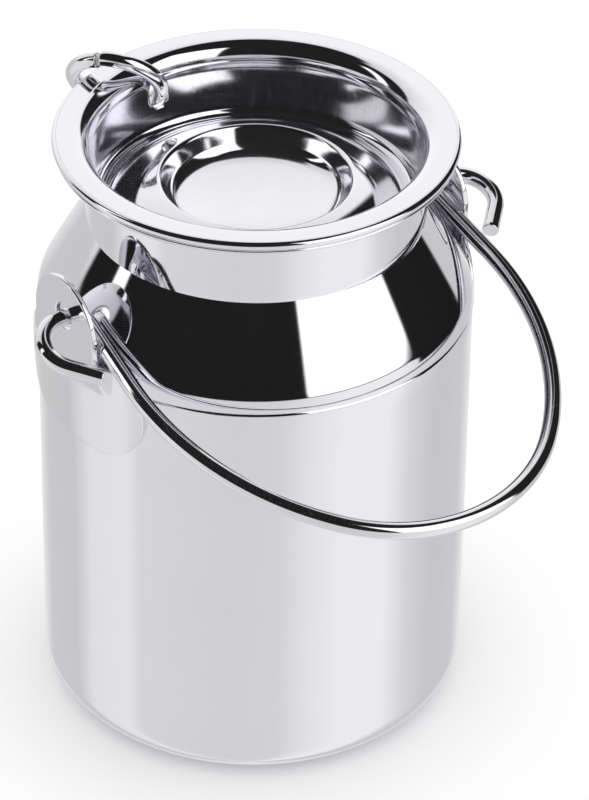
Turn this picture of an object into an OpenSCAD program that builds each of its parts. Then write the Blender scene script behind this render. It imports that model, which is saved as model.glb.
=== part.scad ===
/* [Can body] */
// Outside diameter of the can body, mm
body_d = 102; // [90:0.5:120]
// Height where the body ends and the breast begins, mm
body_h = 106.9; // [100:0.1:112]
// Sheet thickness of body and breast, mm
sheet = 0.6; // [0.5:0.1:1]
// Outside radius of the bottom corner, mm
foot_r = 8.5; // [6:0.5:12]

/* [Neck and rim] */
// Outside diameter of the neck, mm
neck_d = 79; // [78.9:0.1:79.4]
// Height of the corner between breast and neck, mm
neck_z = 129.5; // [128:0.1:131]
// Sheet thickness of the neck, mm
neck_t = 0.55; // [0.4:0.05:0.6]
// Outside diameter of the turned-out rim of the neck, mm
rim_d = 92.8; // [91:0.2:93.2]
// Thickness of the rounded edge of the rim, mm
rim_t = 0.9; // [0.7:0.1:1.2]
// Height of the top face of the rim, mm
rim_z = 147.85; // [147.2:0.05:147.85]

/* [Breast] */
// Radius of the round break between body and breast, mm
break_r = 9; // [7:0.2:12]
// Slope of the breast just above the break, from the vertical, deg
slope_a = 27.9; // [26:0.1:29]

/* [Ear plates] */
// Width of the pad on the body, along the body surface, mm
pad_w = 46; // [40:1:50]
// Height of the pad, mm
pad_h = 25; // [22:0.5:26]
// Height of the middle of the pad, mm
pad_z = 99.6; // [99:0.1:100]
// Thickness of the ear plate, mm
ear_t = 1.3; // [1.1:0.1:1.4]
// Width of the upright tab, mm
tab_w = 24.4; // [22:0.2:25]
// Diameter of the bail hole, mm
hole_d = 6.6; // [6.4:0.1:7]
// Height of the bail hole, which is the height of the bail axis, mm
hole_z = 119; // [118.8:0.1:119.2]

/* [Bail] */
// Diameter of the bail wire, mm
bail_d = 4; // [3.6:0.1:4.1]
// Angle of the resting bail below level, deg
bail_drop = 16; // [10:0.1:16.2]
// Half of the widest width of the bail, wire centre, mm
bail_u = 50.1; // [50:0.1:50.2]
// Distance from the axis to the top of the bail, wire centre, mm
bail_w = 90; // [88:0.5:95]
// Radius of the bail top, wire centre, mm
crown_r = 42; // [41:0.5:43]
// Radius of the hook at the bail end, wire centre, mm
hook_r = 8; // [7.6:0.1:8.2]
// Turn of the hook, deg
hook_a = 134; // [125:1:136]
// Length of the straight end of the hook, mm
tail_l = 8; // [4:0.5:8.5]

/* [Lid] */
// Outside diameter of the lid flange, mm
lid_d = 93.8; // [93:0.1:94.5]
// Height of the top face of the lid flange, mm
lid_z = 150; // [150:0.1:150.4]
// Sheet thickness of the lid, mm
lid_t = 0.5; // [0.4:0.05:0.55]
// Thickness of the rolled edge of the lid flange, mm
roll_t = 2.1; // [1.8:0.1:2.1]
// Radius of the bend from the flange down into the well, mm
bend_in = 4; // [3.6:0.1:4.2]
// Inside radius of the lid wall at its top, mm
well_r = 38.3; // [38:0.1:38.3]
// Inside radius of the lid wall at its foot, mm
foot_in_r = 37.2; // [37:0.1:37.4]
// Height where the lid wall meets the corner of the floor, mm
well_z = 134.15; // [134:0.05:134.4]
// Radius of the rounded rim round the finger recess, mm
pan_r = 22.8; // [22.6:0.1:23]
// Height of the centre of the rounded rim, mm
pan_top = 136.97; // [136.8:0.01:137.1]
// Height of the middle of the dished recess, mm
pan_z = 130.76; // [130.5:0.01:131]

/* [Lid ring] */
// Wire diameter of the ring, mm
ring_d = 3.7; // [3.2:0.1:3.8]
// Radius of the ring, wire centre, mm
ring_r = 10.4; // [10.3:0.1:10.6]
// Distance of the ring centre from the can axis, mm
ring_at = 43.9; // [43.8:0.1:44.1]
// Direction of the ring centre seen from above, deg
ring_az = 103.8; // [100:0.1:108]
// Height of the ring centre, mm
ring_z = 145.5; // [145.3:0.1:145.7]
// Gap between the two cut ends of the ring, mm
ring_gap = 0.8; // [0.4:0.1:1.5]

/* [Output] */
// Sub-part to draw

/* [Hidden] */
$fn = 96;

R = body_d / 2;
RN = neck_d / 2;
steel = [0.80, 0.81, 0.83];
steel2 = [0.72, 0.73, 0.76];

// points of an arc in the r-z plane
function arc(c, r, a0, a1, n) = [for (i = [0:n]) let (a = a0 + (a1 - a0) * i / n) [c[0] + r * cos(a), c[1] + r * sin(a)]];
function rev(p) = [for (i = [len(p) - 1:-1:0]) p[i]];
// the same line moved along its own normal, to give the other face of the sheet
function nrm(p, i) = let (
    a = p[max(i - 1, 0)], b = p[min(i + 1, len(p) - 1)],
    d = [b[0] - a[0], b[1] - a[1]], l = norm(d)) [-d[1] / l, d[0] / l];
function off(p, t) = [for (i = [0:len(p) - 1]) p[i] + t * nrm(p, i)];

// outside line of the breast: round break, then a swelling slope up to the neck corner
br0 = arc([R - break_r, body_h], break_r, 0, slope_a, 5);
bs = br0[len(br0) - 1];
be = [RN, neck_z];
chord = [be[0] - bs[0], be[1] - bs[1]];
chord_l = norm(chord);
chord_a = atan2(-chord[0], chord[1]);
bulge_a = chord_a - slope_a;
bulge_r = chord_l / (2 * sin(bulge_a));
bc = [bs[0] - bulge_r * cos(slope_a), bs[1] - bulge_r * sin(slope_a)];
br1 = arc(bc, bulge_r, slope_a, slope_a + 2 * bulge_a, 9);
breast_out = concat(br0, [for (i = [1:len(br1) - 1]) br1[i]]);

bi = off(breast_out, sheet);
breast_in = concat([[R - sheet, body_h]], [for (i = [1:len(bi) - 1]) bi[i]]);

module body_cup() {
    color(steel)
    rotate_extrude() polygon(concat(
        [[0, 0], [R - foot_r, 0]],
        arc([R - foot_r, foot_r], foot_r, -80, -10, 7),
        [[R, foot_r], [R, body_h], [R - sheet, body_h], [R - sheet, foot_r]],
        rev(arc([R - foot_r, foot_r], foot_r - sheet, -80, -10, 7)),
        [[R - foot_r, sheet], [0, sheet]]));
}

module breast() {
    color(steel)
    rotate_extrude() polygon(concat(breast_out, rev(breast_in)));
}

// room for the lid ring, open upward so that the lid lifts off with its ring
module ring_frame() {
    translate([ring_at * cos(ring_az), ring_at * sin(ring_az), ring_z])
        rotate([0, 0, ring_dh]) rotate([ring_lean, 0, 0]) rotate([90, 0, 0]) children();
}
ring_dh = -45.7;
ring_lean = 31.3;

module ring_notch() {
    translate([ring_at * cos(ring_az), ring_at * sin(ring_az), 0])
        rotate([0, 0, ring_dh])
            translate([-3, 0.9, ring_z - ring_r - 0.2]) cube([15, 8, 30]);
}

flare_c = [RN - neck_t + 3.35, rim_z - 3.35];

module neck_collar() {
    color(steel2)
    difference() {
        rotate_extrude() {
            polygon(concat(
                [[RN, neck_z]],
                arc(flare_c, 3.35 - neck_t, 180, 90, 6),
                [[rim_d / 2 - rim_t / 2, rim_z - neck_t], [rim_d / 2 - rim_t / 2, rim_z]],
                arc(flare_c, 3.35, 90, 180, 6),
                [[RN - neck_t, neck_z]]));
            translate([rim_d / 2 - rim_t / 2, rim_z - rim_t / 2]) circle(d = rim_t, $fn = 20);
        }
        ring_notch();
    }
}

// pad wrapped on the body, with a flat upright tab
tab_x = R + 1.1;
tab_c = 116.6;

module pad_shape() {
    translate([0, pad_z]) {
        square([pad_w - pad_h, pad_h], center = true);
        for (s = [-1, 1]) translate([s * (pad_w - pad_h) / 2, 0]) circle(d = pad_h);
    }
}

module ear_solid() {
    intersection() {
        rotate_extrude() polygon([[R, 80], [R + ear_t, 80], [R + ear_t, 120], [R, 120]]);
        rotate([90, 0, 90]) translate([0, 0, 20]) linear_extrude(60) pad_shape();
    }
}

// flat tab, and the web below it that meets the round pad
module tab_solid() {
    translate([tab_x - ear_t / 2, -tab_w / 2, 106]) cube([ear_t, tab_w, tab_c - 106]);
    translate([tab_x - ear_t / 2, 0, tab_c]) rotate([0, 90, 0]) cylinder(d = tab_w, h = ear_t);
    difference() {
        translate([tab_x - 6, -tab_w / 2, 104.5]) cube([6 + ear_t / 2 - 0.4, tab_w, 4]);
        translate([0, 0, 90]) cylinder(r = R + 0.02, h = 40);
    }
}

module ear_plate() {
    difference() {
        union() {
            ear_solid();
            tab_solid();
        }
        translate([30, 0, hole_z]) rotate([0, 90, 0]) cylinder(d = hole_d, h = 40);
        translate([0, 0, 90]) cylinder(r = R, h = body_h - 90);
    }
}

module ear_plate_right() {
    color(steel2) ear_plate();
}

module ear_plate_left() {
    color(steel2) rotate([0, 0, 180]) ear_plate();
}

// bail, drawn in its own plane: x across, y away from the axis
w0 = 29;
kk = bail_w - crown_r - w0;
side_r = (bail_u * bail_u + kk * kk - crown_r * crown_r) / (2 * (bail_u - crown_r));
side_c = [bail_u - side_r, w0];
side_t1 = atan2(kk, side_r - bail_u);
side_t0 = -4;
leg_e = [side_c[0] + side_r * cos(side_t0), side_c[1] + side_r * sin(side_t0)];
leg_w = 5.2;
leg_l = (leg_e[1] - leg_w) / cos(side_t0);
leg_s = [leg_e[0] + leg_l * sin(side_t0), leg_w];
bend_r = 4.5;
bend_c = [leg_s[0] + bend_r * cos(side_t0), leg_s[1] + bend_r * sin(side_t0)];
toe_l = 0.9;
hook_c = [bend_c[0] + toe_l, bend_c[1] - bend_r + hook_r];
hook_e = [hook_c[0] + hook_r * cos(hook_a - 90), hook_c[1] + hook_r * sin(hook_a - 90)];

// each length of wire stops just short of the next one, and a knuckle joins them
trim = 0.12;

module wire_arc(c, r, a0, a1) {
    da = trim / r * 180 / PI;
    translate([c[0], c[1], 0]) rotate([0, 0, a0 + da])
        rotate_extrude(angle = a1 - a0 - 2 * da, $fn = 84) translate([r, 0]) circle(d = bail_d, $fn = 24);
}

module wire_line(p, a, l0, l1) {
    translate([p[0], p[1], 0]) rotate([0, 0, a]) translate([l0, 0, 0]) rotate([0, 90, 0])
        cylinder(d = bail_d, h = l1 - l0, $fn = 24);
}

module knuckle(p) {
    translate([p[0], p[1], 0]) rotate([0, 0, 11]) sphere(d = bail_d + 0.1, $fn = 26);
}

module bail_half() {
    knuckle([side_c[0] + side_r * cos(side_t1), side_c[1] + side_r * sin(side_t1)]);
    wire_arc(side_c, side_r, side_t0, side_t1);
    knuckle(leg_e);
    wire_line(leg_s, 90 + side_t0, trim, leg_l - trim);
    knuckle(leg_s);
    wire_arc(bend_c, bend_r, 180 + side_t0, 270);
    knuckle([bend_c[0], bend_c[1] - bend_r]);
    wire_line([bend_c[0], bend_c[1] - bend_r], 0, trim, toe_l - trim);
    knuckle([hook_c[0], hook_c[1] - hook_r]);
    wire_arc(hook_c, hook_r, -90, hook_a - 90);
    knuckle(hook_e);
    wire_line(hook_e, hook_a, trim, tail_l);
}

module bail_handle() {
    color(steel)
    translate([0, 0, hole_z]) rotate([180 + bail_drop, 0, 0]) {
        wire_arc([0, bail_w - crown_r], crown_r, side_t1, 180 - side_t1);
        bail_half();
        mirror([1, 0, 0]) bail_half();
    }
}

// upper face of the lid from the flange edge to the middle
LO = lid_d / 2;
dish_r = 123.4;
pit_c = [pan_r - 6.26, pan_z + 5.56];
land_c = [pan_r - 4.7, pan_top - 24.16];
lid_top = concat(
    [[LO - roll_t / 2, lid_z]],
    arc([well_r + bend_in, lid_z - bend_in], bend_in, 90, 180, 8),
    [[well_r, lid_z - bend_in - 0.8], [well_r - 0.15, lid_z - bend_in - 1.2]],
    arc([foot_in_r - 1.8, well_z], 1.8, 0, -129, 8),
    arc(land_c, 25.66, 53, 79, 5),
    arc([pan_r, pan_top], 1.05, 70, 156, 6),
    arc(pit_c, 4.4, -24, -74, 5),
    arc([0, pan_z + dish_r], dish_r, -82, -90, 4));

module lid_pan() {
    color(steel)
    difference() {
        rotate_extrude() {
            polygon(concat(lid_top, rev(off(lid_top, lid_t))));
            translate([LO - roll_t / 2, lid_z - roll_t / 2]) circle(d = roll_t, $fn = 20);
        }
        ring_frame() rotate_extrude($fn = 72) translate([ring_r, 0]) circle(r = 2.5, $fn = 24);
    }
}

module lid_ring() {
    ga = ring_gap / ring_r * 180 / PI;
    color(steel2)
    ring_frame() rotate([0, 0, 105 + ga / 2])
        rotate_extrude(angle = 360 - ga, $fn = 96) translate([ring_r, 0]) circle(d = ring_d, $fn = 28);
}

body_cup();
breast();
neck_collar();
ear_plate_left();
ear_plate_right();
bail_handle();
lid_pan();
lid_ring();
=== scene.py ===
import bpy, bmesh, math
import numpy as np
from mathutils import Matrix, Vector
from mathutils.geometry import delaunay_2d_cdt


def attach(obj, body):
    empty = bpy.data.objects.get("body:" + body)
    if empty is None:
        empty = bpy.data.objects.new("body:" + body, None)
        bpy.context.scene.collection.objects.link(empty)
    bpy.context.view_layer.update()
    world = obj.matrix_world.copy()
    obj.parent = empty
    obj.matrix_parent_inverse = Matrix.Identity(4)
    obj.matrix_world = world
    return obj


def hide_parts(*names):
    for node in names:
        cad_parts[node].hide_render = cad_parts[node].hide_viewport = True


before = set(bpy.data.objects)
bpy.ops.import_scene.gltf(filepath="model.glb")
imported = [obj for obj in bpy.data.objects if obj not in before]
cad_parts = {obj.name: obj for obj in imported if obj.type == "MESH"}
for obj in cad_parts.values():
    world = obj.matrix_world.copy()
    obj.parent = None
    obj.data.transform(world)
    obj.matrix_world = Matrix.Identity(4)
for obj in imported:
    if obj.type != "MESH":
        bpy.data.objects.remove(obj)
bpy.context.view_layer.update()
MM = 0.001
rad, deg = math.radians, math.degrees

# ---------------------------------------------------------------- sizes, the same as the CAD part (mm)
BODY_R, BODY_H, SHEET, FOOT_R = 51.0, 106.9, 0.6, 8.5
NECK_R, NECK_Z, NECK_T, RIM_R, RIM_T, RIM_Z = 39.5, 129.5, 0.55, 46.4, 0.9, 147.85
BREAK_R, SLOPE = 9.0, 27.9
PAD_W, PAD_H, PAD_Z, EAR_T = 46.0, 25.0, 99.6, 1.3
TAB_W, HOLE_D, HOLE_Z = 24.4, 6.6, 119.0
TAB_X, TAB_TOP = BODY_R + 1.1, 116.6
WIRE, DROP, BAIL_U, BAIL_W, CROWN_R = 4.0, 16.0, 50.1, 90.0, 42.0
HOOK_R, HOOK_A, TAIL, TOE = 8.0, 134.0, 8.0, 0.9
LID_R, LID_Z, LID_T, ROLL_T, BEND_IN, WELL_R, FOOT_IN = 46.9, 150.0, 0.5, 2.1, 4.0, 38.3, 37.2
WELL_Z, PAN_R, PAN_TOP, PAN_Z, DISH_R = 134.15, 22.8, 136.97, 130.76, 123.4
RING_D, RING_R, RING_AT, RING_AZ, RING_Z, RING_GAP = 3.7, 10.4, 43.9, 103.8, 145.5, 0.8
RING_DH, RING_LEAN = -45.7, 31.3
YAW = 35.3                                   # camera azimuth, from the photo's ear plates


# ---------------------------------------------------------------- helpers
def arc(c, r, a0, a1, n):
    return [(c[0] + r * math.cos(rad(a0 + (a1 - a0) * i / n)), c[1] + r * math.sin(rad(a0 + (a1 - a0) * i / n))) for i in range(n + 1)]


def dedupe(p, tol=1e-4):
    out = [p[0]]
    for q in p[1:]:
        if math.hypot(q[0] - out[-1][0], q[1] - out[-1][1]) > tol:
            out.append(q)
    return out


def offset(p, t):
    out = []
    for i in range(len(p)):
        a, b = p[max(i - 1, 0)], p[min(i + 1, len(p) - 1)]
        l = math.hypot(b[0] - a[0], b[1] - a[1])
        out.append((p[i][0] - t * (b[1] - a[1]) / l, p[i][1] + t * (b[0] - a[0]) / l))
    return out


def densify(p, step):
    out = [p[0]]
    for q in p[1:]:
        a = out[-1]
        n = max(1, int(math.ceil(math.hypot(q[0] - a[0], q[1] - a[1]) / step)))
        for i in range(1, n + 1):
            out.append((a[0] + (q[0] - a[0]) * i / n, a[1] + (q[1] - a[1]) * i / n))
    return out


def round_corners(p, r, closed=True, n=5, min_angle=20):
    """rounds every corner of a polyline sharper than min_angle"""
    out, m = [], len(p)
    for i in range(m):
        if not closed and i in (0, m - 1):
            out.append(p[i]); continue
        a, b, c = np.array(p[i - 1]), np.array(p[i]), np.array(p[(i + 1) % m])
        u, w = a - b, c - b
        lu, lw = np.linalg.norm(u), np.linalg.norm(w)
        u, w = u / lu, w / lw
        ang = math.acos(max(-1, min(1, float(u @ w))))
        if 180 - deg(ang) < min_angle:
            out.append(tuple(b)); continue
        t = min(r / math.tan(ang / 2), lu * 0.45, lw * 0.45)
        rr = t * math.tan(ang / 2)
        mid = (u + w) / np.linalg.norm(u + w)
        cen = b + mid * rr / math.sin(ang / 2)
        s, e = b + u * t - cen, b + w * t - cen
        a0, a1 = math.atan2(s[1], s[0]), math.atan2(e[1], e[0])
        d = (a1 - a0 + math.pi) % (2 * math.pi) - math.pi
        out += [tuple(cen + rr * np.array([math.cos(a0 + d * k / n), math.sin(a0 + d * k / n)])) for k in range(n + 1)]
    return out


def make(name, verts, faces, smooth=True, sharp=None):
    me = bpy.data.meshes.new(name)
    me.from_pydata([tuple(c * MM for c in v) for v in verts], [], faces)
    me.validate(); me.update()
    ob = bpy.data.objects.new(name, me)
    bpy.context.scene.collection.objects.link(ob)
    bm = bmesh.new(); bm.from_mesh(me)
    bmesh.ops.recalc_face_normals(bm, faces=bm.faces)
    bm.to_mesh(me); bm.free()
    if smooth:
        me.shade_smooth()
    if sharp:
        me.set_sharp_from_angle(angle=rad(sharp))
    return ob


def lathe(name, prof, closed=True, seg=320, sharp=None):
    """turns a closed r-z outline (mm). Points on the axis become one vertex."""
    verts, rows = [], []
    for r, z in prof:
        if r < 1e-4:
            rows.append([len(verts)]); verts.append((0, 0, z))
        else:
            rows.append(list(range(len(verts), len(verts) + seg)))
            verts += [(r * math.cos(2 * math.pi * k / seg), r * math.sin(2 * math.pi * k / seg), z) for k in range(seg)]
    faces, n = [], len(rows)
    for i in range(n if closed else n - 1):
        a, b = rows[i], rows[(i + 1) % n]
        if len(a) == 1 and len(b) == 1:
            continue
        for k in range(seg):
            k2 = (k + 1) % seg
            if len(a) == 1:
                faces.append((a[0], b[k], b[k2]))
            elif len(b) == 1:
                faces.append((a[k], b[0], a[k2]))
            else:
                faces.append((a[k], b[k], b[k2], a[k2]))
    return make(name, verts, faces, sharp=sharp)


def sweep(name, pts, r, seg=40, cap=0.25, capseg=4):
    """round wire along points (mm) with flat cut ends whose edge is rounded by cap"""
    P = np.array(pts, float)
    T = np.gradient(P, axis=0)
    T /= np.linalg.norm(T, axis=1)[:, None]
    n0 = np.cross(T[0], [0.3, 0.2, 0.9]); n0 /= np.linalg.norm(n0)
    rings = []
    N = n0
    frames = []
    for i in range(len(P)):
        N = N - (N @ T[i]) * T[i]; N /= np.linalg.norm(N)
        frames.append((N.copy(), np.cross(T[i], N)))
    def ring(c, f, rr):
        return [tuple(c + rr * (math.cos(2 * math.pi * k / seg) * f[0] + math.sin(2 * math.pi * k / seg) * f[1])) for k in range(seg)]
    for k in range(capseg + 1):
        a = math.pi / 2 * k / capseg
        rings.append(ring(P[0] + T[0] * cap * (1 - math.sin(a)), frames[0], r - cap * (1 - math.cos(a))) if False else
                     ring(P[0] + T[0] * cap * (1 - math.cos(a)), frames[0], r - cap * (1 - math.sin(a))))
    s = np.cumsum(np.r_[0, np.linalg.norm(np.diff(P, axis=0), axis=1)])
    for i in range(1, len(P) - 1):
        if s[i] > cap * 1.05 and s[-1] - s[i] > cap * 1.05:
            rings.append(ring(P[i], frames[i], r))
    for k in range(capseg, -1, -1):
        a = math.pi / 2 * k / capseg
        rings.append(ring(P[-1] - T[-1] * cap * (1 - math.cos(a)), frames[-1], r - cap * (1 - math.sin(a))))
    verts = [v for g in rings for v in g]
    faces = []
    for i in range(len(rings) - 1):
        for k in range(seg):
            k2 = (k + 1) % seg
            faces.append((i * seg + k, i * seg + k2, (i + 1) * seg + k2, (i + 1) * seg + k))
    c0 = len(verts); verts.append(tuple(P[0])); c1 = len(verts); verts.append(tuple(P[-1]))
    L = (len(rings) - 1) * seg
    for k in range(seg):
        k2 = (k + 1) % seg
        faces.append((c0, k2, k)); faces.append((c1, L + k, L + k2))
    ob = make(name, verts, faces)
    me = ob.data
    sh = me.attributes.new("sharp_edge", "BOOLEAN", "EDGE") if "sharp_edge" not in me.attributes else me.attributes["sharp_edge"]
    first, last = set(range(seg)), set(range(L, L + seg))
    for e in me.edges:
        a, b = e.vertices
        if (a in first and b in first) or (a in last and b in last):
            sh.data[e.index].value = True
    return ob


def cut(ob, *cutters):
    """boolean cut, applied, with the smooth shading kept"""
    for c in cutters:
        m = ob.modifiers.new("cut", "BOOLEAN"); m.operation = "DIFFERENCE"; m.solver = "EXACT"; m.object = c
        bpy.context.view_layer.update()
        me = bpy.data.meshes.new_from_object(ob.evaluated_get(bpy.context.evaluated_depsgraph_get()))
        ob.modifiers.clear()
        old = ob.data; ob.data = me; bpy.data.meshes.remove(old)
        bpy.data.objects.remove(c, do_unlink=True)


# ---------------------------------------------------------------- profiles
br0 = arc((BODY_R - BREAK_R, BODY_H), BREAK_R, 0, SLOPE, 14)
bs, be = br0[-1], (NECK_R, NECK_Z)
ch = (be[0] - bs[0], be[1] - bs[1]); chl = math.hypot(*ch)
bulge_a = deg(math.atan2(-ch[0], ch[1])) - SLOPE
bulge_r = chl / (2 * math.sin(rad(bulge_a)))
bc = (bs[0] - bulge_r * math.cos(rad(SLOPE)), bs[1] - bulge_r * math.sin(rad(SLOPE)))
breast_out = br0 + arc(bc, bulge_r, SLOPE, SLOPE + 2 * bulge_a, 40)[1:]

body_prof = ([(0, 0), (20, 0), (36, 0)] + arc((BODY_R - FOOT_R, FOOT_R), FOOT_R, -90, 0, 22)
             + [(BODY_R, z) for z in np.linspace(FOOT_R + 3, BODY_H - 0.75, 24)] + [(BODY_R - 0.04, BODY_H - 0.6), (BODY_R - 0.30, BODY_H - 0.08)]
             + [(BODY_R - SHEET, BODY_H)] + [(BODY_R - SHEET, z) for z in (80, 50, 20)]
             + arc((BODY_R - FOOT_R, FOOT_R), FOOT_R - SHEET, 0, -90, 16) + [(30, SHEET), (0, SHEET)])
body = lathe("can_body", dedupe(body_prof), closed=False, sharp=50)

inner = offset(breast_out, SHEET)
outer = [(BODY_R - 0.30, BODY_H), (BODY_R - 0.06, BODY_H + 0.14)] + [q for q in breast_out if q[1] > BODY_H + 0.3]
breast = lathe("can_breast", dedupe(outer + inner[::-1]), sharp=50)

flare = (NECK_R - NECK_T + 3.35, RIM_Z - 3.35)
neck_prof = [(NECK_R, NECK_Z)] + [(NECK_R, z) for z in np.linspace(NECK_Z + 1, flare[1] - 0.4, 10)] \
    + arc(flare, 3.35 - NECK_T, 180, 90, 16) \
    + [(RIM_R - RIM_T / 2 - 0.5, RIM_Z - NECK_T)] \
    + arc((RIM_R - RIM_T / 2, RIM_Z - RIM_T / 2), RIM_T / 2, -125, 90, 16) \
    + arc(flare, 3.35, 90, 180, 16) + [(NECK_R - NECK_T, RIM_Z - 8), (NECK_R - NECK_T, NECK_Z)]
neck = lathe("neck_collar_turned", dedupe(neck_prof), sharp=50)

# the frame of the lid ring: ring axis is local z
RC = Vector((RING_AT * math.cos(rad(RING_AZ)), RING_AT * math.sin(rad(RING_AZ)), RING_Z))
RM = Matrix.Rotation(rad(RING_DH), 4, "Z") @ Matrix.Rotation(rad(RING_LEAN), 4, "X") @ Matrix.Rotation(rad(90), 4, "X")


def ring_pt(a, r=RING_R, h=0.0):
    v = RM @ Vector((r * math.cos(a), r * math.sin(a), h))
    return (RC.x + v.x, RC.y + v.y, RC.z + v.z)


# open notch in the neck for the lid ring
nm = Matrix.Translation((RC.x, RC.y, 0)) @ Matrix.Rotation(rad(RING_DH), 4, "Z")
bx = [(x, y, z) for x in (-3, 12) for y in (0.9, 8.9) for z in (RING_Z - RING_R - 0.2, RING_Z + 20)]
bxv = [tuple(nm @ Vector(p)) for p in bx]
box = make("notch_cut", bxv, [(0, 1, 3, 2), (4, 6, 7, 5), (0, 4, 5, 1), (2, 3, 7, 6), (0, 2, 6, 4), (1, 5, 7, 3)], smooth=False)
bev = box.modifiers.new("b", "BEVEL"); bev.width = 1.5 * MM; bev.segments = 4
cut(neck, box)

# lid
lid_top = ([(LID_R - ROLL_T / 2, LID_Z), (45.0, LID_Z), (43.5, LID_Z)]
           + arc((WELL_R + BEND_IN, LID_Z - BEND_IN), BEND_IN, 90, 180, 26)
           + [(WELL_R, LID_Z - BEND_IN - 0.8), (WELL_R - 0.05, LID_Z - BEND_IN - 1.0), (WELL_R - 0.15, LID_Z - BEND_IN - 1.25)]
           + [(WELL_R - 0.15 + (FOOT_IN - WELL_R + 0.15) * t, LID_Z - BEND_IN - 1.25 + (WELL_Z - LID_Z + BEND_IN + 1.25) * t) for t in np.linspace(0.1, 0.92, 8)]
           + arc((FOOT_IN - 1.8, WELL_Z), 1.8, 0, -129, 20))
land = arc((PAN_R - 4.7, PAN_TOP - 24.16), 25.66, 52, 79, 24)
rim_arc = arc((PAN_R, PAN_TOP), 1.05, 76, 156, 16)
pit = (PAN_R - 6.26, PAN_Z + 5.56)
pan_arc = arc(pit, 4.4, -24, -80, 22)
dish = arc((0, PAN_Z + DISH_R), DISH_R, -82, -90, 14)
wall = [(rim_arc[-1][0] + (pan_arc[0][0] - rim_arc[-1][0]) * t, rim_arc[-1][1] + (pan_arc[0][1] - rim_arc[-1][1]) * t) for t in (0.25, 0.5, 0.75)]
lid_top = lid_top + land + rim_arc + wall + pan_arc + dish[:-1] + [(0, PAN_Z)]
lid_top = dedupe(lid_top)
lid_under = offset(lid_top, LID_T)[::-1]
lid_under[0] = (0, PAN_Z - LID_T)
roll_c = (LID_R - ROLL_T / 2, LID_Z - ROLL_T / 2)
# the outer edge is rolled round: from the underside round the roll to the top face
lid_under = [q for q in lid_under if q[0] < LID_R - ROLL_T / 2 - 1.0]
roll = arc(roll_c, ROLL_T / 2, -215, 88, 26)
lid = lathe("lid_turned", dedupe(lid_top[1:] + lid_under + roll + [lid_top[0]]) if False else dedupe([lid_top[0]] + lid_top[1:] + lid_under + [(LID_R - ROLL_T / 2 - 1.05, LID_Z - LID_T)] + roll[1:]), closed=False, sharp=60)


def torus(name, r, wr, n=96, m=28):
    v = []
    for i in range(n):
        a = 2 * math.pi * i / n
        for j in range(m):
            b = 2 * math.pi * j / m
            v.append(ring_pt(a, r + wr * math.cos(b), wr * math.sin(b)))
    f = [(i * m + j, i * m + (j + 1) % m, ((i + 1) % n) * m + (j + 1) % m, ((i + 1) % n) * m + j) for i in range(n) for j in range(m)]
    return make(name, v, f)


cut(lid, torus("hole_cut", RING_R, 2.5))

# lid ring: bent wire, its two flat-cut ends not quite in line
ga = RING_GAP / RING_R
a0 = rad(105) + ga / 2
pts = []
N = 200
for i in range(N + 1):
    t = i / N
    a = a0 + (2 * math.pi - ga) * t
    k = max(0.0, 1 - t / 0.10), max(0.0, 1 - (1 - t) / 0.10)
    pts.append(ring_pt(a, RING_R + 0.20 * k[0] ** 2 - 0.12 * k[1] ** 2, 0.35 * k[0] ** 2 - 0.35 * k[1] ** 2))
ring = sweep("lid_ring_wire", pts, RING_D / 2, seg=44, cap=0.22)

# bail
w0 = 29.0
kk = BAIL_W - CROWN_R - w0
side_r = (BAIL_U ** 2 + kk ** 2 - CROWN_R ** 2) / (2 * (BAIL_U - CROWN_R))
side_c = (BAIL_U - side_r, w0)
side_t1 = deg(math.atan2(kk, side_r - BAIL_U))
leg_w, bend_r, side_t0 = 5.2, 4.5, -4.0
leg_e = (side_c[0] + side_r * math.cos(rad(side_t0)), side_c[1] + side_r * math.sin(rad(side_t0)))
leg_l = (leg_e[1] - leg_w) / math.cos(rad(side_t0))
leg_s = (leg_e[0] + leg_l * math.sin(rad(side_t0)), leg_w)
bend_c = (leg_s[0] + bend_r * math.cos(rad(side_t0)), leg_s[1] + bend_r * math.sin(rad(side_t0)))
hook_c = (bend_c[0] + TOE, bend_c[1] - bend_r + HOOK_R)


def narc(c, r, a0, a1, step=0.8):
    n = max(6, int(abs(rad(a1 - a0)) * r / step))
    return arc(c, r, a0, a1, n)


hook_e = (hook_c[0] + HOOK_R * math.cos(rad(HOOK_A - 90)), hook_c[1] + HOOK_R * math.sin(rad(HOOK_A - 90)))
half = [(hook_e[0] + t * math.cos(rad(HOOK_A)), hook_e[1] + t * math.sin(rad(HOOK_A))) for t in np.linspace(TAIL, 0, 8)]
half += narc(hook_c, HOOK_R, HOOK_A - 90, -90, 0.5) + narc(bend_c, bend_r, 270, 180 + side_t0, 0.4)
half += [(leg_s[0] + (leg_e[0] - leg_s[0]) * t, leg_s[1] + (leg_e[1] - leg_s[1]) * t) for t in np.linspace(0.12, 0.88, 8)] + narc(side_c, side_r, side_t0, side_t1)
half += narc((0, BAIL_W - CROWN_R), CROWN_R, side_t1, 90)
half = dedupe(half, 0.05)
path = half + [(-u, w) for u, w in half[::-1]][1:]
cd, sd = math.cos(rad(180 + DROP)), math.sin(rad(180 + DROP))
bail = sweep("bail_wire", [(u, w * cd, HOLE_Z + w * sd) for u, w in path], WIRE / 2, seg=48, cap=0.3)


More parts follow.
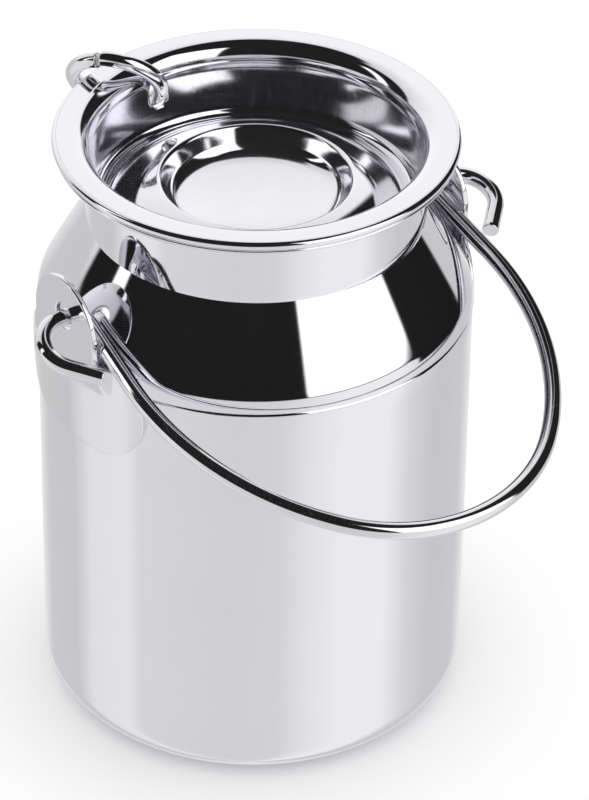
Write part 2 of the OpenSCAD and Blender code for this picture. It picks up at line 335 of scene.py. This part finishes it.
# ear plates: one bent sheet, pad on the body and a flat upright tab stepped out from it
def ear_outline():
    h = TAB_W / 2
    pc, pr = (PAD_W - PAD_H) / 2, PAD_H / 2
    fr = 3.0
    fy = h + fr
    fz = PAD_Z + math.sqrt((pr + fr) ** 2 - (fy - pc) ** 2)
    a_pad = deg(math.atan2(fz - PAD_Z, fy - pc))
    right = []
    right += [(y, PAD_Z - pr) for y in np.linspace(0, pc, 22)[:-1]]
    right += narc((pc, PAD_Z), pr, -90, a_pad, 0.45)
    right += narc((fy, fz), fr, 180 + a_pad, 180, 0.3)[1:]
    top = TAB_TOP
    right += [(h, z) for z in np.linspace(fz, top, 16)[1:-1]]
    right += narc((0, top), h, 0, 90, 0.45)
    right = dedupe(right, 0.02)
    return right + [(-y, z) for y, z in right[::-1]][1:-1]


def sstep(a, b, x):
    t = max(0.0, min(1.0, (x - a) / (b - a)))
    return t * t * (3 - 2 * t)


def mid_x(y, z):
    """middle of the sheet: on the round body below, pulled out to a flat upright tab above"""
    xc = math.sqrt((BODY_R + EAR_T / 2) ** 2 - y * y)
    w = 1 - sstep(TAB_W / 2, TAB_W / 2 + 3.2, abs(y)) if z < 113.5 else 1.0
    k = sstep(102.5, 110.0, z) * w
    return xc + (TAB_X - xc) * k


def ear(name, side):
    out = ear_outline()
    hole = [(HOLE_D / 2 * math.cos(2 * math.pi * k / 72), HOLE_Z + HOLE_D / 2 * math.sin(2 * math.pi * k / 72)) for k in range(72)]
    er, steps = 0.30, 4

    def inset(loop, d, into):
        P = np.array(loop); t = np.roll(P, -1, 0) - np.roll(P, 1, 0)
        t /= np.linalg.norm(t, axis=1)[:, None]
        return P + into * d * np.stack([-t[:, 1], t[:, 0]], -1)
    loops = []
    for lp, into in ((out, 1), (hole, -1)):
        lays = []
        for k in range(steps + 1):
            f = math.pi / 2 * k / steps
            lays.append((inset(lp, er * (1 - math.cos(f)), into), (EAR_T / 2 - er) + er * math.sin(f)))
        loops.append(lays)
    # inside of the face: a fine net of triangles between the two inset loops
    o_in, h_in = loops[0][-1][0], loops[1][-1][0]
    pts2 = [tuple(p) for p in o_in] + [tuple(p) for p in h_in]
    no, nh = len(o_in), len(h_in)
    edges = [(i, (i + 1) % no) for i in range(no)] + [(no + i, no + (i + 1) % nh) for i in range(nh)]
    g = 0.55
    oi = np.array(o_in)
    for j in range(int(60 / g)):
        for i in range(int(60 / g)):
            y, z = -30 + (i + 0.5 * (j % 2)) * g, 84 + j * g * 0.866
            if math.hypot(y, z - HOLE_Z) < HOLE_D / 2 + er + 0.35:
                continue
            # inside test and distance to the outline
            dmin = np.min(np.hypot(oi[:, 0] - y, oi[:, 1] - z))
            if dmin < 0.33:
                continue
            x1, z1 = oi[:, 0], oi[:, 1]; x2, z2 = np.roll(x1, -1), np.roll(z1, -1)
            c = ((z1 > z) != (z2 > z)) & (y < (x2 - x1) * (z - z1) / (z2 - z1 + 1e-12) + x1)
            if c.sum() % 2:
                pts2.append((y, z))
    v2, _, f2, _, _, _ = delaunay_2d_cdt([Vector(p) for p in pts2], edges, [], 0, 1e-6)
    v2 = [tuple(v) for v in v2]
    keep = []
    for f in f2:
        cy = sum(v2[i][0] for i in f) / 3; cz = sum(v2[i][1] for i in f) / 3
        if math.hypot(cy, cz - HOLE_Z) < HOLE_D / 2 + er - 0.02:
            continue
        x1, z1 = oi[:, 0], oi[:, 1]; x2, z2 = np.roll(x1, -1), np.roll(z1, -1)
        c = ((z1 > cz) != (z2 > cz)) & (cy < (x2 - x1) * (cz - z1) / (z2 - z1 + 1e-12) + x1)
        if c.sum() % 2:
            keep.append(f)
    verts, faces, vn = [], [], []

    def normal(y, z):
        e = 0.02
        a = (mid_x(y + e, z) - mid_x(y - e, z)) / (2 * e); b = (mid_x(y, z + e) - mid_x(y, z - e)) / (2 * e)
        n = np.array([1, -a, -b]); return n / np.linalg.norm(n)

    def put(y, z, h):
        n = normal(y, z)
        p = np.array([mid_x(y, z), y, z]) + n * h
        verts.append((side * p[0], side * p[1], p[2]))
        return len(verts) - 1
    for s in (1, -1):
        base = [put(y, z, s * EAR_T / 2) for y, z in v2]
        for f in keep:
            faces.append(tuple(base[i] for i in (f if s > 0 else f[::-1])))
        start = {0: base[:no], 1: base[no:no + nh]}
        if s > 0:
            top = start
        else:
            bot = start
    for li in (0, 1):
        lays = loops[li]
        prev = top[li]
        chain = []
        for lay, h in reversed(lays[:-1]):
            chain.append([put(y, z, h) for y, z in lay])
        for lay, h in lays[:-1]:
            chain.append([put(y, z, -h) for y, z in lay])
        chain.append(bot[li])
        for nx in chain:
            n = len(prev)
            for i in range(n):
                faces.append((prev[i], prev[(i + 1) % n], nx[(i + 1) % n], nx[i]))
            prev = nx
    return make(name, verts, faces, sharp=None)


ear_r = ear("ear_right_sheet", 1)
ear_l = ear("ear_left_sheet", -1)


# ---------------------------------------------------------------- materials
def nodes_of(mat):
    mat.use_nodes = True
    nt = mat.node_tree
    nt.nodes.clear()
    return nt, nt.nodes, nt.links


def math_node(nt, op, a, b=None, c=None, clamp=False):
    n = nt.nodes.new("ShaderNodeMath"); n.operation = op; n.use_clamp = clamp
    for i, v in enumerate((a, b, c)):
        if v is None:
            continue
        if isinstance(v, (int, float)):
            n.inputs[i].default_value = v
        else:
            nt.links.new(v, n.inputs[i])
    return n.outputs[0]


def mapr(nt, v, a, b, c, d, smooth=False):
    n = nt.nodes.new("ShaderNodeMapRange"); n.interpolation_type = "SMOOTHSTEP" if smooth else "LINEAR"
    nt.links.new(v, n.inputs[0])
    for i, x in enumerate((a, b, c, d)):
        n.inputs[i + 1].default_value = x
    return n.outputs[0]


def noise(nt, vec, scale, detail=3.0, rough=0.5, w=None):
    n = nt.nodes.new("ShaderNodeTexNoise"); n.noise_dimensions = "4D" if w is not None else "3D"
    nt.links.new(vec, n.inputs["Vector"])
    if w is not None:
        nt.links.new(w, n.inputs["W"])
    n.inputs["Scale"].default_value = scale; n.inputs["Detail"].default_value = detail; n.inputs["Roughness"].default_value = rough
    return n.outputs["Fac"]


def steel(name, color, rough, grain="turned", grain_amt=0.02, scratch=0.25, spots=0.2, long_grain=0.05, tint_var=0.03, well=False):
    """polished steel: turning grain round the can's axis (or plain), fine scratches, uneven polish"""
    m = bpy.data.materials.new(name)
    nt, N, L = nodes_of(m)
    out = N.new("ShaderNodeOutputMaterial"); bs = N.new("ShaderNodeBsdfPrincipled")
    L.new(bs.outputs[0], out.inputs[0])
    bs.inputs["Metallic"].default_value = 1.0
    tc = N.new("ShaderNodeTexCoord"); sep = N.new("ShaderNodeSeparateXYZ"); L.new(tc.outputs["Object"], sep.inputs[0])
    x, y, z = sep.outputs
    r = math_node(nt, "SQRT", math_node(nt, "ADD", math_node(nt, "MULTIPLY", x, x), math_node(nt, "MULTIPLY", y, y)))
    rs = math_node(nt, "MAXIMUM", r, 1e-4)
    cx = math_node(nt, "DIVIDE", x, rs); cy = math_node(nt, "DIVIDE", y, rs)
    # grain coordinates: long round the axis, fine across
    comb = N.new("ShaderNodeCombineXYZ")
    if grain == "turned":
        L.new(math_node(nt, "MULTIPLY", cx, long_grain), comb.inputs[0]); L.new(math_node(nt, "MULTIPLY", cy, long_grain), comb.inputs[1])
        L.new(math_node(nt, "MULTIPLY", z, 40.0), comb.inputs[2])
        w = math_node(nt, "MULTIPLY", r, 900.0)
        g = noise(nt, comb.outputs[0], 60.0, 4.0, 0.6, w)
    else:
        L.new(math_node(nt, "MULTIPLY", x, 6.0), comb.inputs[0]); L.new(math_node(nt, "MULTIPLY", y, 6.0), comb.inputs[1])
        L.new(math_node(nt, "MULTIPLY", z, 40.0), comb.inputs[2])
        g = noise(nt, comb.outputs[0], 60.0, 4.0, 0.6)
    # fine scratches in two directions
    sc = []
    for k, (ax, ay, az_, s) in enumerate(((900, 60, 140, 1.0), (120, 800, 90, 1.0), (80, 150, 950, 0.8))):
        mp = N.new("ShaderNodeMapping"); L.new(tc.outputs["Object"], mp.inputs[0])
        mp.inputs["Rotation"].default_value = (0.5 + k, 0.3 * k, 0.9 * k); mp.inputs["Scale"].default_value = (ax, ay, az_)
        nn = noise(nt, mp.outputs[0], s, 2.0, 0.5)
        sc.append(mapr(nt, nn, 0.66, 0.72, 0.0, 1.0))
    scr = math_node(nt, "MAXIMUM", math_node(nt, "MAXIMUM", sc[0], sc[1]), sc[2])
    cloud = noise(nt, tc.outputs["Object"], 38.0, 3.0, 0.55)
    fine = noise(nt, tc.outputs["Object"], 2600.0, 2.0, 0.5)
    speck = mapr(nt, fine, 0.72, 0.80, 0.0, 1.0)
    # roughness
    ro = math_node(nt, "ADD", rough, math_node(nt, "MULTIPLY", math_node(nt, "SUBTRACT", g, 0.5), grain_amt))
    ro = math_node(nt, "ADD", ro, math_node(nt, "MULTIPLY", scr, scratch * 0.10))
    ro = math_node(nt, "ADD", ro, math_node(nt, "MULTIPLY", math_node(nt, "SUBTRACT", cloud, 0.5), 0.035))
    ro = math_node(nt, "ADD", ro, math_node(nt, "MULTIPLY", speck, spots * 0.12))
    if well:
        # brushed wall of the well, satin recess, brushed recess floor
        wall_m = math_node(nt, "MULTIPLY", mapr(nt, r, 0.0360, 0.0368, 0, 1, True), math_node(nt, "MULTIPLY", mapr(nt, z, 0.1446, 0.1455, 1, 0, True), mapr(nt, z, 0.1335, 0.1350, 0, 1, True)))
        rec_m = math_node(nt, "MULTIPLY", mapr(nt, r, 0.0215, 0.0225, 1, 0, True), mapr(nt, z, 0.1370, 0.1378, 1, 0, True))
        flo_m = math_node(nt, "MULTIPLY", mapr(nt, r, 0.0178, 0.0190, 1, 0, True), mapr(nt, z, 0.1325, 0.1340, 1, 0, True))
        mp = N.new("ShaderNodeMapping"); L.new(tc.outputs["Object"], mp.inputs[0])
        mp.inputs["Rotation"].default_value = (0, 0, rad(35.3)); mp.inputs["Scale"].default_value = (70, 1900, 1)
        brush = noise(nt, mp.outputs[0], 1.0, 4.0, 0.65)
        ang = math_node(nt, "ARCTAN2", cy, cx)
        cw = N.new("ShaderNodeCombineXYZ"); L.new(math_node(nt, "MULTIPLY", ang, 70.0), cw.inputs[0]); L.new(math_node(nt, "MULTIPLY", z, 350.0), cw.inputs[1])
        streak = noise(nt, cw.outputs[0], 1.0, 3.0, 0.6)
        ro = math_node(nt, "ADD", ro, math_node(nt, "MULTIPLY", wall_m, math_node(nt, "ADD", 0.015, math_node(nt, "MULTIPLY", streak, 0.09))))
        ro = math_node(nt, "ADD", ro, math_node(nt, "MULTIPLY", rec_m, 0.02))
        ro = math_node(nt, "ADD", ro, math_node(nt, "MULTIPLY", flo_m, math_node(nt, "MULTIPLY", brush, 0.16)))
    ro = math_node(nt, "MAXIMUM", ro, 0.012)
    L.new(ro, bs.inputs["Roughness"])
    # colour: a little unevenness, edges worn brighter
    geo = N.new("ShaderNodeNewGeometry")
    edge = mapr(nt, geo.outputs["Pointiness"], 0.52, 0.60, 0.0, 1.0)
    val = math_node(nt, "ADD", 1.0 - tint_var, math_node(nt, "MULTIPLY", cloud, 2 * tint_var))
    val = math_node(nt, "ADD", val, math_node(nt, "MULTIPLY", math_node(nt, "SUBTRACT", g, 0.5), grain_amt * 1.0))
    val = math_node(nt, "ADD", val, math_node(nt, "MULTIPLY", edge, 0.05))
    if well:
        val = math_node(nt, "ADD", val, math_node(nt, "MULTIPLY", math_node(nt, "MULTIPLY", flo_m, math_node(nt, "SUBTRACT", brush, 0.5)), 0.16))
        val = math_node(nt, "ADD", val, math_node(nt, "MULTIPLY", math_node(nt, "MULTIPLY", wall_m, math_node(nt, "SUBTRACT", streak, 0.5)), 0.30))
    hsv = N.new("ShaderNodeHueSaturation"); hsv.inputs["Color"].default_value = (*color, 1); L.new(val, hsv.inputs["Value"])
    L.new(hsv.outputs[0], bs.inputs["Base Color"])
    # bump from grain and scratches
    h = math_node(nt, "ADD", math_node(nt, "MULTIPLY", g, grain_amt * 10), math_node(nt, "MULTIPLY", scr, -0.35 * scratch))
    h = math_node(nt, "ADD", h, math_node(nt, "MULTIPLY", cloud, 0.9))
    bp = N.new("ShaderNodeBump"); bp.inputs["Strength"].default_value = 0.10; bp.inputs["Distance"].default_value = 0.00002
    L.new(h, bp.inputs["Height"]); L.new(bp.outputs[0], bs.inputs["Normal"])
    if "Anisotropic" in bs.inputs and grain == "turned":
        bs.inputs["Anisotropic"].default_value = 0.3
        tg = N.new("ShaderNodeTangent"); tg.direction_type = "RADIAL"; tg.axis = "Z"
        L.new(tg.outputs[0], bs.inputs["Tangent"])
    return m


COL = (0.842, 0.835, 0.88)
m_body = steel("can_steel_polished", COL, 0.045, "turned", 0.02, 0.3, 0.2)
m_neck = steel("neck_steel_polished", COL, 0.05, "turned", 0.03, 0.35, 0.2)
m_lid = steel("lid_steel_turned", COL, 0.06, "turned", 0.08, 0.4, 0.3, well=True)
m_ear = steel("plate_steel_polished", (0.82, 0.816, 0.838), 0.06, "plain", 0.02, 0.5, 0.3)
m_wire = steel("wire_steel_bright", (0.80, 0.80, 0.82), 0.07, "plain", 0.03, 0.6, 0.4)

for ob, mat, nodes, bodyname, sl in (
        (body, m_body, ["body_cup"], "can", "can_steel"), (breast, m_body, ["breast"], "can", "can_steel"),
        (neck, m_neck, ["neck_collar"], "can", "can_steel"), (ear_l, m_ear, ["ear_plate_left"], "can", "plate_steel"),
        (ear_r, m_ear, ["ear_plate_right"], "can", "plate_steel"), (bail, m_wire, ["bail_handle"], "bail", "wire_steel"),
        (lid, m_lid, ["lid_pan"], "lid", "lid_steel"), (ring, m_wire, ["lid_ring"], "ring", "wire_steel")):
    ob.data.materials.clear(); ob.data.materials.append(mat)
    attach(ob, bodyname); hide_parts(*nodes)

# ---------------------------------------------------------------- floor
fm = bpy.data.materials.new("floor_white")
nt, N, L = nodes_of(fm)
out = N.new("ShaderNodeOutputMaterial"); df = N.new("ShaderNodeBsdfDiffuse"); df.inputs[0].default_value = (0.93, 0.93, 0.935, 1)
L.new(df.outputs[0], out.inputs[0])
fl = make("floor", [(-4000, -4000, 0), (4000, -4000, 0), (4000, 4000, 0), (-4000, 4000, 0)], [(0, 1, 2, 3)], smooth=False)
fl.data.materials.append(fm)
fl.visible_glossy = False                    # the light card under the horizon is in the world, below

# ---------------------------------------------------------------- studio, as a world seen by reflections
world = bpy.data.worlds.new("studio"); bpy.context.scene.world = world
world.use_nodes = True
nt = world.node_tree; N, L = nt.nodes, nt.links; N.clear()
out = N.new("ShaderNodeOutputWorld"); bg = N.new("ShaderNodeBackground"); L.new(bg.outputs[0], out.inputs[0])
tc = N.new("ShaderNodeTexCoord")
rot = N.new("ShaderNodeVectorRotate"); rot.rotation_type = "Z_AXIS"; rot.inputs["Angle"].default_value = rad(YAW)
L.new(tc.outputs["Generated"], rot.inputs["Vector"])
sep = N.new("ShaderNodeSeparateXYZ"); L.new(rot.outputs[0], sep.inputs[0])
X, Y, Z = sep.outputs
az = math_node(nt, "MULTIPLY", math_node(nt, "ARCTAN2", X, math_node(nt, "MULTIPLY", Y, -1.0)), 180 / math.pi)
el = math_node(nt, "MULTIPLY", math_node(nt, "ARCSINE", Z), 180 / math.pi)
# table under the horizon: lighter to the right, darker behind
ramp = N.new("ShaderNodeValToRGB"); L.new(mapr(nt, az, -180, 180, 0, 1), ramp.inputs[0])
cr = ramp.color_ramp
stops = [(-180, .86), (-160, .80), (-145, .66), (-112, .66), (-98, .86), (-72, .90), (-62, .78), (-10, .74), (14, .76), (32, .90), (48, .98), (76, .98), (92, .78), (112, .66), (145, .66), (160, .80), (180, .86)]
cr.elements[0].position = 0; cr.elements[1].position = 1
cr.elements[0].color = (stops[0][1],) * 3 + (1,); cr.elements[1].color = (stops[-1][1],) * 3 + (1,)
for a, v in stops[1:-1]:
    e = cr.elements.new((a + 180) / 360); e.color = (v, v, v, 1)
floor_v = N.new("ShaderNodeRGBToBW"); L.new(ramp.outputs[0], floor_v.inputs[0])
floor_v = floor_v.outputs[0]
# above the horizon: bright cove behind, dark room in front and overhead
def box_mask(a0, a1, e0, e1, s=1.2):
    u = math_node(nt, "MULTIPLY", mapr(nt, az, a0 - s, a0 + s, 0, 1, True), mapr(nt, az, a1 - s, a1 + s, 1, 0, True))
    w = math_node(nt, "MULTIPLY", mapr(nt, el, e0 - s, e0 + s, 0, 1, True), mapr(nt, el, e1 - s, e1 + s, 1, 0, True))
    return math_node(nt, "MULTIPLY", u, w)


cove = math_node(nt, "ADD", box_mask(153, 400, -8, 58, 2.0), box_mask(-400, -113, -8, 58, 2.0))
cove_v = mapr(nt, Y, 0.3, 0.9, 0.72, 1.06)
room = 0.012
up = math_node(nt, "ADD", room, math_node(nt, "MULTIPLY", cove, cove_v))
up = math_node(nt, "ADD", up, math_node(nt, "MULTIPLY", box_mask(27, 86, 8.5, 60), 1.5))
up = math_node(nt, "ADD", up, math_node(nt, "MULTIPLY", box_mask(-92.5, -84, 8, 46), 1.5))
front = mapr(nt, Y, -0.15, 0.05, 1, 0, True)
hor = mapr(nt, math_node(nt, "SUBTRACT", el, math_node(nt, "MULTIPLY", front, 6.5)), -1.2, 1.2, 0, 1, True)
# on the right the table ends early and the dark room shows under the horizon
hor = math_node(nt, "MAXIMUM", hor, box_mask(88, 129, -9, 30, 1.5))
mixed = math_node(nt, "ADD", math_node(nt, "MULTIPLY", up, hor), math_node(nt, "MULTIPLY", floor_v, math_node(nt, "SUBTRACT", 1.0, hor)))
lp = N.new("ShaderNodeLightPath")
g = math_node(nt, "ADD", math_node(nt, "MULTIPLY", mixed, lp.outputs["Is Glossy Ray"]),
              math_node(nt, "MULTIPLY", 1.26, math_node(nt, "SUBTRACT", 1.0, lp.outputs["Is Glossy Ray"])))
L.new(g, bg.inputs["Strength"]); bg.inputs["Color"].default_value = (1, 1, 1, 1)

sc = bpy.context.scene
sc.view_settings.view_transform = "Standard"; sc.view_settings.look = "None"
sc.view_settings.exposure = 0; sc.view_settings.gamma = 1
sc.cycles.max_bounces = 16; sc.cycles.glossy_bounces = 14

# ---------------------------------------------------------------- camera, from the photo
th, ro = rad(35.4253), rad(0.8759)
right, upv, fwd = Vector((1, 0, 0)), Vector((0, math.sin(th), math.cos(th))), Vector((0, math.cos(th), -math.sin(th)))
r_ = math.cos(ro) * right + math.sin(ro) * upv
u_ = -math.sin(ro) * right + math.cos(ro) * upv
RZ = Matrix.Rotation(rad(-YAW), 3, "Z")
cols = [RZ @ r_, RZ @ u_, RZ @ (-fwd)]
M = Matrix([[cols[j][i] for j in range(3)] for i in range(3)]).to_4x4()
M.translation = RZ @ Vector((9.564, -846.964, 677.443)) * MM
cam = bpy.data.cameras.new("cam"); co = bpy.data.objects.new("cam", cam); sc.collection.objects.link(co)
co.matrix_world = M
cam.sensor_fit = "AUTO"; cam.sensor_width = 36.0; cam.lens = 4362.73 / 800 * 36.0
cam.clip_start = 0.01; cam.clip_end = 50
sc.camera = co
